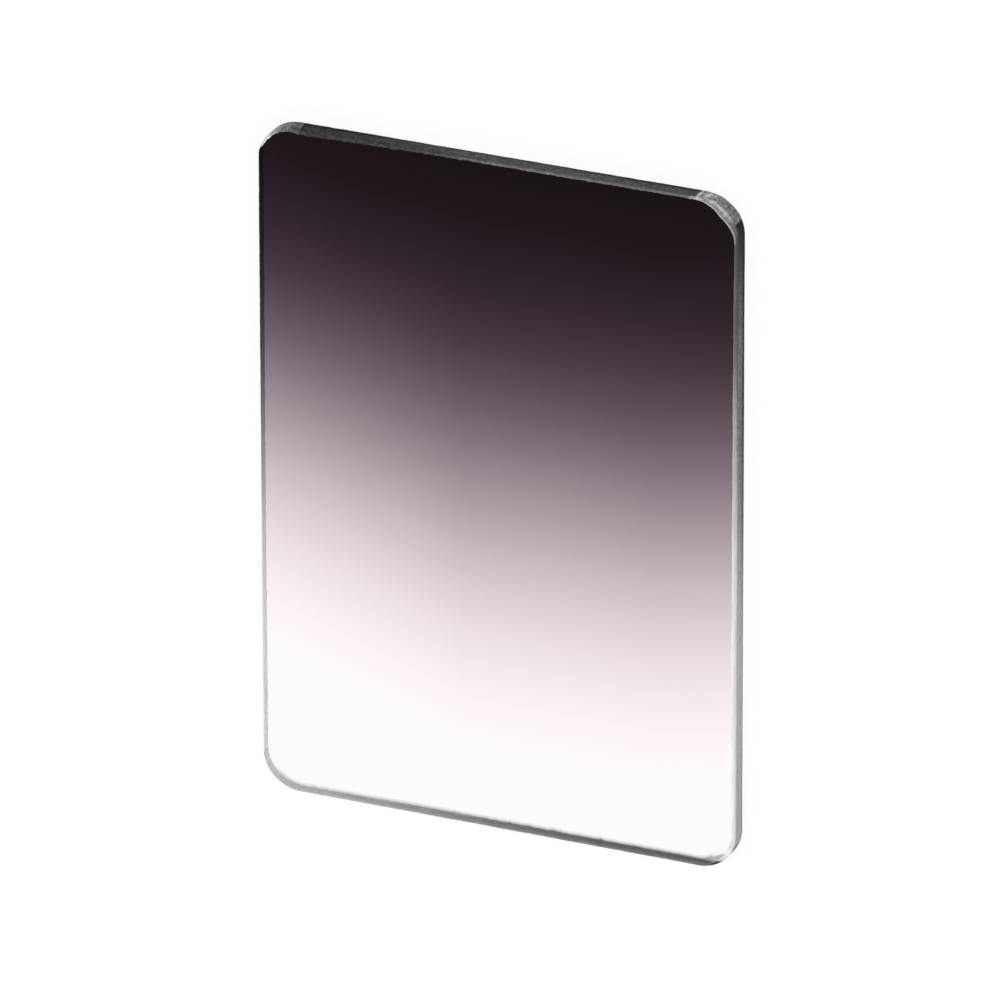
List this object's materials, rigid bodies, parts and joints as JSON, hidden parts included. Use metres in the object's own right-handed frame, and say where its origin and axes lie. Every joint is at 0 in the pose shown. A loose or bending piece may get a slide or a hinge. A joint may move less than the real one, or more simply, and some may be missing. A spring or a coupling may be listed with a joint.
{
  "type": "graduated neutral density filter plate",
  "caption": "Flat rectangular optical glass filter with rounded corners and chamfered ground edges, soft-graduated from dark to clear along its length, for a slide-in holder or matte box tray.",
  "frame": {"origin": "middle of the clear back face, which the plate lies on", "axes": "+X across the width, +Y along the length towards the dark end, +Z out of the coated front face, up as the plate lies"},
  "size_m": [0.1016, 0.1436, 0.004],
  "materials": {
    "coated_optical_glass": "polished faces with a soft neutral density gradient on the front, fine-ground grey edges and chamfers"
  },
  "bodies": {
    "root": {"filter_plate": "coated_optical_glass"}
  },
  "joints": []
}
